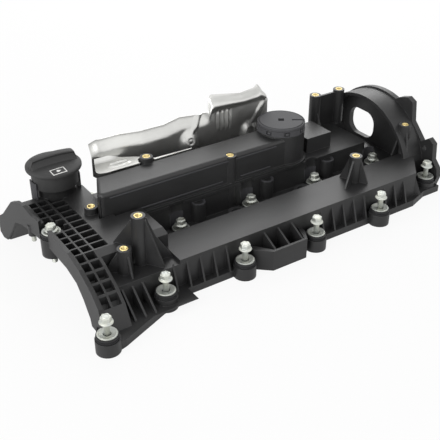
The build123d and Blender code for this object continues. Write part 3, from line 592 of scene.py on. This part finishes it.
class MetalProperties(bpy.types.PropertyGroup):
    zinc: FloatVectorProperty(
        name="Zinc", description="Colour of the plated steel", subtype="COLOR",
        default=(0.50, 0.52, 0.50), min=0.0, max=1.0)
    brass: FloatVectorProperty(
        name="Brass", description="Colour of the threaded inserts", subtype="COLOR",
        default=(0.74, 0.60, 0.28), min=0.0, max=1.0)
    sheet: FloatVectorProperty(
        name="Sheet", description="Colour of the heat shield", subtype="COLOR",
        default=(0.60, 0.60, 0.58), min=0.0, max=1.0)


class ShieldProperties(bpy.types.PropertyGroup):
    lean: FloatProperty(
        name="Lean", description="How far the top band leans back, in millimetres",
        default=5.0, min=0.0)
    lip: FloatProperty(
        name="Lip", description="How far the lip bulges forward, in millimetres",
        default=4.5, min=0.0)
    pad: FloatProperty(
        name="Pads", description="How far the screw pads stand forward, as a share of 7 millimetres",
        default=1.0, min=0.0)
    crumple: FloatProperty(
        name="Crumple", description="Handling dents in the sheet, in millimetres",
        default=0.5, min=0.0)


class CapProperties(bpy.types.PropertyGroup):
    crown: FloatProperty(
        name="Crown", description="Half the width of the grip's crown, in millimetres",
        default=4.6, min=0.5)


class StageProperties(bpy.types.PropertyGroup):
    camera_place: FloatVectorProperty(
        name="Camera", description="Where the camera stands", subtype="TRANSLATION", unit="LENGTH",
        default=(-0.43734, -0.53817, 0.47652))
    camera_tilt: FloatProperty(
        name="Tilt", description="Angle below the horizon", subtype="ANGLE",
        default=math.radians(31.67))
    camera_heading: FloatProperty(
        name="Heading", description="Direction of view, anticlockwise from +X", subtype="ANGLE",
        default=math.radians(56.27))
    lens: FloatProperty(
        name="Lens", description="Focal length in millimetres",
        default=64.2, min=1.0)
    floor_size: FloatProperty(
        name="Floor", description="Side of the floor", unit="LENGTH",
        default=12.0, min=1.0)


class MouldedPlastics(bpy.types.Operator):
    """Gives the cover, the separator and the caps their moulded plastic"""
    bl_idname = "valve_cover.moulded_plastics"
    bl_label = "Moulded plastics"

    def execute(self, context):
        values = context.scene.valve_cover_plastics
        nylon = moulded_nylon(
            "glass_filled_nylon", values.nylon, values.nylon_pale,
            gloss=(0.38, 0.5), streaks=(0.5, 1.0, 1.0), grain=1500.0, rounding=0.5)
        dress(nylon, "cover", "separator_cover", "baffle_plate")
        cap = moulded_nylon(
            "filler_cap_plastic", scaled(values.nylon, 0.8), scaled(values.nylon_pale, 0.8),
            gloss=(0.34, 0.46), streaks=(1.0, 1.0, 0.5), grain=2200.0, rounding=0.5)
        dress(cap, "oil_filler_cap")
        valve = moulded_nylon(
            "valve_cap_plastic", scaled(values.nylon, 0.5), scaled(values.nylon_pale, 0.5),
            gloss=(0.5, 0.62), streaks=(1.0, 1.0, 1.0), grain=1800.0, rounding=0.4)
        dress(valve, "pcv_cap", "pcv_valve")
        printed_paint("cap_print", values.print)
        return {"FINISHED"}


class RubberPieces(bpy.types.Operator):
    """Gives the gasket, the seals and the grommets their rubber"""
    bl_idname = "valve_cover.rubber_pieces"
    bl_label = "Rubber"

    def execute(self, context):
        seal = moulded_rubber("seal_rubber", (0.02, 0.02, 0.021), (0.045, 0.045, 0.047))
        dress(seal, "cam_cover_gasket", "cap_seal", "injector_seals", "pcv_diaphragm")
        grommet = moulded_rubber("grommet_rubber", (0.014, 0.014, 0.015), (0.035, 0.035, 0.036))
        dress(grommet, "grommets")
        return {"FINISHED"}


class MetalPieces(bpy.types.Operator):
    """Gives the bolts, the sleeves, the inserts and the sheet their metal"""
    bl_idname = "valve_cover.metal_pieces"
    bl_label = "Metal"

    def execute(self, context):
        values = context.scene.valve_cover_metals
        zinc = zinc_plate("zinc_plate", values.zinc, (0.63, 0.64, 0.57), (0.46, 0.62))
        zinc_plate("washer_plate", scaled(values.zinc, 0.85), (0.54, 0.55, 0.50), (0.5, 0.66))
        dress(zinc, *BOLT_NODES, "compression_sleeves", "locating_dowel", "shield_screws", "pcv_spring")
        dress(turned_brass("turned_brass", values.brass), "brass_inserts")
        dress(bright_sheet("bright_sheet", values.sheet), "heat_shield")
        return {"FINISHED"}


class HeatShield(bpy.types.Operator):
    """Presses the heat shield: a leaning top, a bulging lip, flutes, screw pads and a beaded foot"""
    bl_idname = "valve_cover.heat_shield"
    bl_label = "Heat shield"

    def execute(self, context):
        mesh = bmesh.new()
        self.wall(mesh, context.scene.valve_cover_shield)
        self.foot(mesh)
        bmesh.ops.recalc_face_normals(mesh, faces=mesh.faces)
        bmesh.ops.solidify(mesh, geom=list(mesh.faces), thickness=SHEET)
        finish_piece(
            "shield_sheet", mesh, "bright_sheet", COVER_BODY, ["heat_shield"], 50.0)
        return {"FINISHED"}

    def wall(self, mesh, values):
        """The upright wall, pressed out of a fine grid."""
        low, high = corners_of("heat_shield")
        grid = bmesh.ops.create_grid(mesh, x_segments=180, y_segments=56, size=0.5)
        for vert in grid["verts"]:
            x = low.x + SHEET_INSET + (high.x - low.x - 2 * SHEET_INSET) * (vert.co.x + 0.5)
            top = along(SHIELD_UPPER, x)
            bottom = along(SHIELD_LOWER, x)
            z = bottom + (top - bottom) * (vert.co.y + 0.5)
            vert.co = (x, high.y - SOLID_SHEET + press_depth(x, z, top, values), z)

    def foot(self, mesh):
        """The foot that folds forward onto the separator, with its bead and its hole."""
        grid = bmesh.ops.create_grid(mesh, x_segments=110, y_segments=28, size=0.5)
        for vert in grid["verts"]:
            back = vert.co.y + 0.5
            x = FOOT_LEFT + FOOT_LENGTH * (vert.co.x + 0.5)
            corner = max(0.0, FOOT_LEFT + FOOT_CORNER - x) / FOOT_CORNER
            front = FOOT_FRONT + FOOT_CORNER * (1.0 - math.sqrt(1.0 - corner * corner))
            y = front + (along(FOOT_REAR, x) - front) * back
            x -= FOOT_REACH * (1.0 - back) * (1.0 - step(-131.5, -119.0, x))
            beside = max(0.0, abs(x - BEAD_MIDDLE[0]) - BEAD_STRAIGHT)
            ring = abs(math.hypot(beside, y - BEAD_MIDDLE[1]) - BEAD_RADIUS)
            bead = BEAD_RISE * (1 - step(0.0, BEAD_WIDTH, ring))
            curl = FOOT_CURL * (max(0.0, back - 0.8) / 0.2) ** 2 * (1 - step(-116, -100, x))
            vert.co = (x, y, FOOT_HEIGHT + bead + curl)
        hole = Vector(FOOT_HOLE)
        inside = [vert for vert in grid["verts"] if (vert.co.xy - hole).length < FOOT_HOLE_RADIUS]
        bmesh.ops.delete(mesh, geom=inside, context="VERTS")


class Bolts(bpy.types.Operator):
    """Turns each flanged bolt with its thread, its hexagon and the dish in its head"""
    bl_idname = "valve_cover.bolts"
    bl_label = "Bolts"

    def execute(self, context):
        for number, node in enumerate(BOLT_NODES):
            low, high = corners_of(node)
            centre = middle_of(node)
            seat = high.z - BOLT_HEAD
            mesh = bmesh.new()
            profile = [(0, low.z), (2.3, low.z), (2.9, low.z + 0.6)]
            height = low.z + THREAD_PITCH
            while height < low.z + BOLT_THREAD:
                profile += [(3.0, height), (2.56, height + THREAD_PITCH / 2)]
                height += THREAD_PITCH
            profile += [(2.95, height), (2.95, seat - 0.7), (3.3, seat), (6.4, seat), (6.8, seat + 0.3)]
            profile += [(6.8, seat + 1.0), (6.5, seat + 1.35), (5.2, seat + 1.9), (4.3, seat + 2.5)]
            profile += [(0, seat + 2.5)]
            turned(mesh, centre, profile)
            hexagon(
                mesh, centre, HEXAGON_FLATS, seat + 1.4, high.z - 0.35,
                chamfer=0.8, turn=number * HEXAGON_TURN)
            dish = [(0, high.z - 1.1), (2.0, high.z - 1.0), (2.7, high.z - 0.1), (3.0, high.z)]
            dish += [(3.4, high.z - 0.05), (3.7, high.z - 0.6), (2.0, high.z - 1.6), (0, high.z - 1.6)]
            turned(mesh, centre, dish)
            finish_piece(
                node + "_turned", mesh, "zinc_plate", node + "_body", [node], 40.0)
        return {"FINISHED"}


class Washers(bpy.types.Operator):
    """Turns the sleeves that the bolts clamp, each with its dished washer"""
    bl_idname = "valve_cover.washers"
    bl_label = "Washers and sleeves"

    def execute(self, context):
        mesh = bmesh.new()
        low, high = corners_of("compression_sleeves")
        for node in BOLT_NODES:
            top = high.z if node == "bolt_arch" else low.z + SLEEVE_LENGTH
            foot = top - SLEEVE_LENGTH
            profile = [
                (3.6, foot), (3.6, top - 1.1), (4.5, top - 0.5), (7.6, top - 0.5), (8.1, top - 0.1),
                (8.6, top), (9.4, top), (9.8, top - 0.35), (9.8, top - 1.2), (9.5, top - 1.5),
                (5.5, top - 1.5), (5.5, foot), (3.6, foot),
            ]
            turned(mesh, middle_of(node), profile, 40)
        finish_piece(
            "washer_sleeves", mesh, "washer_plate", COVER_BODY, ["compression_sleeves"],
            40.0)
        return {"FINISHED"}


class Inserts(bpy.types.Operator):
    """Turns the threaded inserts with their chamfers and threads"""
    bl_idname = "valve_cover.inserts"
    bl_label = "Threaded inserts"

    def execute(self, context):
        mesh = bmesh.new()
        for mount in frame["record"]["mounts"]:
            if mount["kind"] != "threaded_hole":
                continue
            x, y, middle = (value / MM for value in mount["pos_m"])
            top = middle + INSERT_RISE
            foot = top - INSERT_LENGTH
            profile = [(4.4, foot), (4.4, top - 0.4), (4.1, top), (3.4, top), (2.9, top - 0.7)]
            height = top - THREAD_PITCH
            while height > foot + THREAD_PITCH / 2:
                profile += [(2.55, height), (2.95, height - THREAD_PITCH / 2)]
                height -= THREAD_PITCH
            profile += [(2.6, foot), (4.4, foot)]
            turned(mesh, (x, y), profile, 28)
        finish_piece(
            "insert_rings", mesh, "turned_brass", COVER_BODY, ["brass_inserts"], 40.0)
        return {"FINISHED"}


class FillerCap(bpy.types.Operator):
    """Moulds the oil cap: a domed brim, a tall grip with hollow flanks, a skirt and the bayonet"""
    bl_idname = "valve_cover.filler_cap"
    bl_label = "Oil filler cap"

    def execute(self, context):
        values = context.scene.valve_cover_cap
        low, high = corners_of("oil_filler_cap")
        centre = middle_of("oil_filler_cap")
        mesh = bmesh.new()
        profile = [
            (0, 91.0), (12, 90.8), (21, 90.2), (27, 89.3), (29.0, 88.7), (29.8, 87.9), (30, 87.0),
            (30, 85.2), (29.5, 84.3), (28.6, 84.0), (25.8, 84.0), (25, 83.2), (25, 66.8), (24.6, 66.0),
            (22.6, 66.0), (22.6, 81.0), (13.5, 81.0), (13.5, low.z), (11.1, low.z), (11.1, 78.5),
            (0, 78.5),
        ]
        turned(mesh, centre, profile, 72)
        lug = [(13.0, low.z + 0.01), (17.0, low.z + 0.01), (17.0, low.z + 4.0), (13.0, low.z + 4.0)]
        for side in (90, -90):
            turned(mesh, centre, lug, 8, math.radians(42), math.radians(side - 21))
        self.grip(mesh, centre, high.z, values.crown)
        finish_piece(
            "filler_cap_moulding", mesh, "filler_cap_plastic", "filler_cap",
            ["oil_filler_cap"], 32.0)
        self.mark(centre)
        return {"FINISHED"}

    def grip(self, mesh, centre, top, crown_width):
        """A closed bar whose flanks are hollow and whose ends come down steeply."""
        skin = bmesh.ops.create_grid(mesh, x_segments=48, y_segments=28, size=1.0)["verts"]
        edge = list({e for v in skin for e in v.link_edges if e.is_boundary})
        for vert in skin:
            along_grip, across = vert.co.x, abs(vert.co.y)
            ends = (1 - abs(along_grip) ** 16) ** (1 / 16)
            crown = GRIP_FOOT + (top - 2.0 * along_grip * along_grip - GRIP_FOOT) * ends
            if across < CROWN_SHARE:
                arc = across / CROWN_SHARE * math.pi / 2
                half = crown_width * math.sin(arc)
                height = crown - CROWN_ROUNDING * (1 - math.cos(arc)) ** 2
            else:
                # The flank draws in under the crown and flares out at its foot
                down = (across - CROWN_SHARE) / (1 - CROWN_SHARE)
                flare = (GRIP_HALF_WIDTH - crown_width - 1.4) * down ** 5
                half = crown_width - 2.2 * step(0.0, 0.2, down) + 3.6 * down + flare
                shoulder = crown - CROWN_ROUNDING
                height = shoulder - (shoulder - GRIP_FOOT) * down
            height = max(GRIP_FOOT, height)
            end = GRIP_TOP_RIGHT if along_grip > 0 else GRIP_TOP_LEFT
            climb = min(1.0, (height - GRIP_FOOT) / (top - GRIP_FOOT))
            x = centre.x + along_grip * (GRIP_REACH - (GRIP_REACH - end) * climb)
            y = centre.y + math.copysign(half, vert.co.y) * (0.55 + 0.45 * ends)
            vert.co = (x, y, height)
        bmesh.ops.holes_fill(mesh, edges=edge, sides=0)

    def mark(self, centre):
        """A plain printed frame round a drop, on the front of the brim."""
        mesh = bmesh.new()
        bmesh.ops.create_grid(mesh, x_segments=1, y_segments=1, size=0.5)
        bmesh.ops.scale(mesh, verts=mesh.verts, vec=MARK_SIZE)
        panel = list(mesh.faces)
        bmesh.ops.inset_individual(mesh, faces=panel, thickness=MARK_LINE)
        bmesh.ops.delete(mesh, geom=panel, context="FACES")
        bmesh.ops.subdivide_edges(mesh, edges=list(mesh.edges), cuts=3, use_grid_fill=True)
        drop = bmesh.ops.create_circle(
            mesh, cap_ends=True, cap_tris=True, radius=MARK_DROP, segments=28)["verts"]
        for vert in drop:
            if vert.co.x > 0:
                vert.co.y *= 1 - vert.co.x / MARK_DROP
                vert.co.x *= 1.7
        place = centre + Vector((*MARK_PLACE, 0))
        swing(mesh, mesh.verts, Matrix.Rotation(MARK_TURN, 3, "Z"), place)
        # It follows the brim, which falls away slowly to a radius of 21 and faster beyond
        for vert in mesh.verts:
            reach = (vert.co.xy - centre.xy).length
            vert.co.z = 90.26 + max(0.0, 21.0 - reach) * 0.067 - max(0.0, reach - 21.0) * 0.15
        bmesh.ops.recalc_face_normals(mesh, faces=mesh.faces)
        bmesh.ops.solidify(mesh, geom=list(mesh.faces), thickness=-PAINT_THICKNESS)
        finish_piece("cap_mark", mesh, "cap_print", "filler_cap")


class ValveCap(bpy.types.Operator):
    """Moulds the valve's snap cap: a bevelled lid with a socket, a slot, a groove and clip windows"""
    bl_idname = "valve_cover.valve_cap"
    bl_label = "Valve cap"

    def execute(self, context):
        low, high = corners_of("pcv_cap")
        centre = middle_of("pcv_cap")
        base, top, radius = low.z, high.z, LID_RADIUS
        mesh = bmesh.new()
        profile = [
            (0, top), (9.0, top), (16.0, top), (25.2, top), (25.6, top - 0.9),
            (26.3, top - 0.9), (26.8, top - 0.2), (27.5, top - 0.4), (radius, top - 1.0),
            (radius, top - 2.8), (27.4, top - 3.0), (27.4, top - 3.5), (radius, top - 3.7),
            (radius, base + 5.8), (radius, base + 0.9), (radius + 0.6, base + 0.6), (radius + 0.6, base),
            (25.5, base), (25.5, top - 2.5), (8.0, top - 2.5), (8.0, top - 6.5), (0, top - 6.5),
        ]
        turned(mesh, centre, profile, 96)
        self.windows(mesh, centre, base)
        self.hooks(mesh, centre, base)
        lid = finish_piece(
            "valve_lid", mesh, "valve_cap_plastic", COVER_BODY, ["pcv_cap"], 30.0)
        for lowest, highest in LID_CUTS:
            cutter = bmesh.new()
            from_top = [(x, y, top + z) for x, y, z in (lowest, highest)]
            moulded_bar(cutter, *from_top, 0.3)
            swing(cutter, cutter.verts, Matrix.Rotation(LID_TURN, 3, "Z"), centre)
            carve(lid, cutter)
        self.spring(centre)
        return {"FINISHED"}

    def windows(self, mesh, centre, base):
        """Sets the clip windows back into the rim."""
        faces = []
        for face in mesh.faces:
            place = face.calc_center_median()
            offset = place.xy - centre.xy
            if abs(offset.length - LID_RADIUS) < 0.1 and base + 1 < place.z < base + 5.5:
                bearing = (math.degrees(math.atan2(offset.y, offset.x)) - WINDOW_START) % WINDOW_PITCH
                if min(bearing, WINDOW_PITCH - bearing) < WINDOW_HALF:
                    faces.append(face)
        bmesh.ops.inset_region(mesh, faces=faces, thickness=0.25, use_even_offset=True)
        for vert in {v for face in faces for v in face.verts}:
            offset = vert.co.xy - centre.xy
            vert.co.x -= offset.x / offset.length * WINDOW_DEPTH
            vert.co.y -= offset.y / offset.length * WINDOW_DEPTH

    def hooks(self, mesh, centre, base):
        """Puts a chamfered hook into each window."""
        middle = Vector((LID_RADIUS - 1.0, 0, base + 3.2))
        for number in range(8):
            hook = bmesh.ops.create_cube(mesh, size=1.0)["verts"]
            bmesh.ops.scale(mesh, verts=hook, vec=(2.0, 3.2, 1.8))
            bmesh.ops.translate(mesh, verts=hook, vec=middle)
            for vert in hook:
                if vert.co.z > middle.z and vert.co.x > middle.x:
                    vert.co.x -= 0.9
            turn = Matrix.Rotation(math.radians(WINDOW_PITCH * number + WINDOW_START), 4, "Z")
            swing(mesh, hook, turn, centre)

    def spring(self, centre):
        """Gives the spring a mesh of its own; the valve plate's travel is worked out, but the spring is
        not shortened.
        """
        low, high = corners_of("pcv_spring")
        joints = frame["record"]["behaviour"]["joints"]
        slide = [joint for joint in joints if joint["name"] == "pcv_valve_slide"][0]
        travel = slide["range_m"][1] / MM
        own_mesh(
            frame["nodes"]["pcv_spring"], "pcv_valve_slide", axis=(0, 0, 1),
            anchor=(centre.x * MM, centre.y * MM, low.z * MM), keep=1.0 - travel / (high.z - low.z))


class FineMouldings(bpy.types.Operator):
    """Adds the filler's guards, the separator's beads, the bosses' rims and the inner bolts' walls"""
    bl_idname = "valve_cover.fine_mouldings"
    bl_label = "Fine mouldings"

    def execute(self, context):
        guards = bmesh.new()
        wall = [(25.4, 50.0), (27.0, 50.0), (27.0, 73.4), (26.6, 74.0), (25.8, 74.0), (25.4, 73.4)]
        for start in GUARD_STARTS:
            turned(
                guards, middle_of("oil_filler_cap"), wall, 20,
                math.radians(GUARD_SWEEP), math.radians(start))
        beads = bmesh.new()
        for low, high in SEPARATOR_BEADS:
            moulded_bar(beads, low, high, 0.6)
        rims = bmesh.new()
        rim = [(5.0, 0.1), (7.4, 1.1), (8.0, 0.9), (8.0, -1.0), (5.0, -1.0), (5.0, 0.1)]
        for boss in CLIP_BOSSES:
            turned(rims, boss, [(r, CLIP_TOP + z) for r, z in rim], 32)
        backs = bmesh.new()
        for node in BOLT_NODES:
            if "inner" in node:
                turned(backs, middle_of(node), POCKET_WALL, 16, math.radians(90), math.radians(45))
        mouldings = {
            "filler_guards": guards, "separator_beads": beads, "clip_rims": rims, "pocket_backs": backs}
        for name, mesh in mouldings.items():
            finish_piece(name, mesh, "glass_filled_nylon", COVER_BODY)
        return {"FINISHED"}


class Stage(bpy.types.Operator):
    """Sets the floor, the light and the camera"""
    bl_idname = "valve_cover.stage"
    bl_label = "Stage"

    def execute(self, context):
        values = context.scene.valve_cover_stage
        self.floor(values)
        self.world(context.scene)
        self.lamps()
        self.camera(context.scene, values)
        context.scene.view_settings.view_transform = "Standard"
        return {"FINISHED"}

    def floor(self, values):
        """A pale floor just under the cover, which shows as plain white outside the shadow."""
        mesh = bmesh.new()
        bmesh.ops.create_grid(mesh, x_segments=1, y_segments=1, size=values.floor_size / 2)
        low = min(CAD_BOX[0].z, 0.0)
        bmesh.ops.translate(mesh, verts=mesh.verts, vec=(0, 0, low - 0.0002))
        data = mesh_data("floor", mesh)
        add_object("floor", data)
        material = bpy.data.materials.new("pale_floor")
        nodes = Network(material)
        lit = nodes.node("BsdfPrincipled", "BSDF", inputs={
            "Base Color": (0.86, 0.86, 0.86, 1.0), "Roughness": 0.8})
        white = nodes.node("Emission", "Emission", inputs={"Color": WHITE})
        shown = nodes.backdrop(camera=0.9, mirrors=0.5, glass=0.8)
        mixed = nodes.node("MixShader", "Shader", inputs={0: shown, 1: lit, 2: white})
        nodes.node("OutputMaterial", None, inputs={"Surface": mixed})
        data.materials.append(material)

    def world(self, scene):
        """A dim even light that shows as plain white."""
        scene.world = bpy.data.worlds.new("studio")
        nodes = Network(scene.world)
        light = nodes.node("Background", "Background", inputs={"Color": WHITE, "Strength": 0.45})
        white = nodes.node("Background", "Background", inputs={"Color": WHITE, "Strength": 1.0})
        shown = nodes.backdrop(camera=1.0, mirrors=1.0, glass=1.0)
        mixed = nodes.node("MixShader", "Shader", inputs={0: shown, 1: light, 2: white})
        nodes.node("OutputWorld", None, inputs={"Surface": mixed})

    def lamps(self):
        """Square soft lamps, each turned to its target."""
        for name, (place, target, side, power) in LAMPS.items():
            lamp = bpy.data.lights.new(name, "AREA")
            lamp.shape = "SQUARE"
            lamp.size = side
            lamp.energy = power
            stand = add_object(name, lamp)
            stand.location = place
            stand.rotation_euler = (Vector(target) - Vector(place)).to_track_quat("-Z", "Y").to_euler()

    def camera(self, scene, values):
        """The photograph's own viewing angle."""
        camera = bpy.data.cameras.new("photo_camera")
        camera.sensor_width = 36.0
        camera.lens = values.lens
        camera.clip_start = 0.01
        camera.clip_end = 50.0
        stand = add_object("photo_camera", camera)
        stand.location = values.camera_place
        stand.rotation_euler = (
            math.radians(90) - values.camera_tilt, 0, values.camera_heading - math.radians(90))
        scene.camera = stand


class ValveCoverPanel(bpy.types.Panel):
    """Lists the steps that dress the valve cover"""
    bl_idname = "VIEW3D_PT_valve_cover"
    bl_label = "Valve cover"
    bl_space_type = "VIEW_3D"
    bl_region_type = "UI"
    bl_category = "Valve cover"

    def draw(self, context):
        for operator in OPERATORS:
            self.layout.operator(operator.bl_idname)


OPERATORS = (
    MouldedPlastics, RubberPieces, MetalPieces, HeatShield, Bolts, Washers, Inserts, FillerCap,
    ValveCap, FineMouldings, Stage,
)

GROUPS = {
    "valve_cover_plastics": PlasticProperties,
    "valve_cover_metals": MetalProperties,
    "valve_cover_shield": ShieldProperties,
    "valve_cover_cap": CapProperties,
    "valve_cover_stage": StageProperties,
}

CLASSES = (*GROUPS.values(), *OPERATORS, ValveCoverPanel)


def register():
    for item in CLASSES:
        bpy.utils.register_class(item)
    for name, group in GROUPS.items():
        setattr(bpy.types.Scene, name, PointerProperty(type=group))


def unregister():
    for name in GROUPS:
        delattr(bpy.types.Scene, name)
    for item in reversed(CLASSES):
        bpy.utils.unregister_class(item)


def main():
    """Dresses the frame."""
    register()
    for operator in OPERATORS:
        area, name = operator.bl_idname.split(".")
        getattr(getattr(bpy.ops, area), name)()


if __name__ == "__main__":
    main()
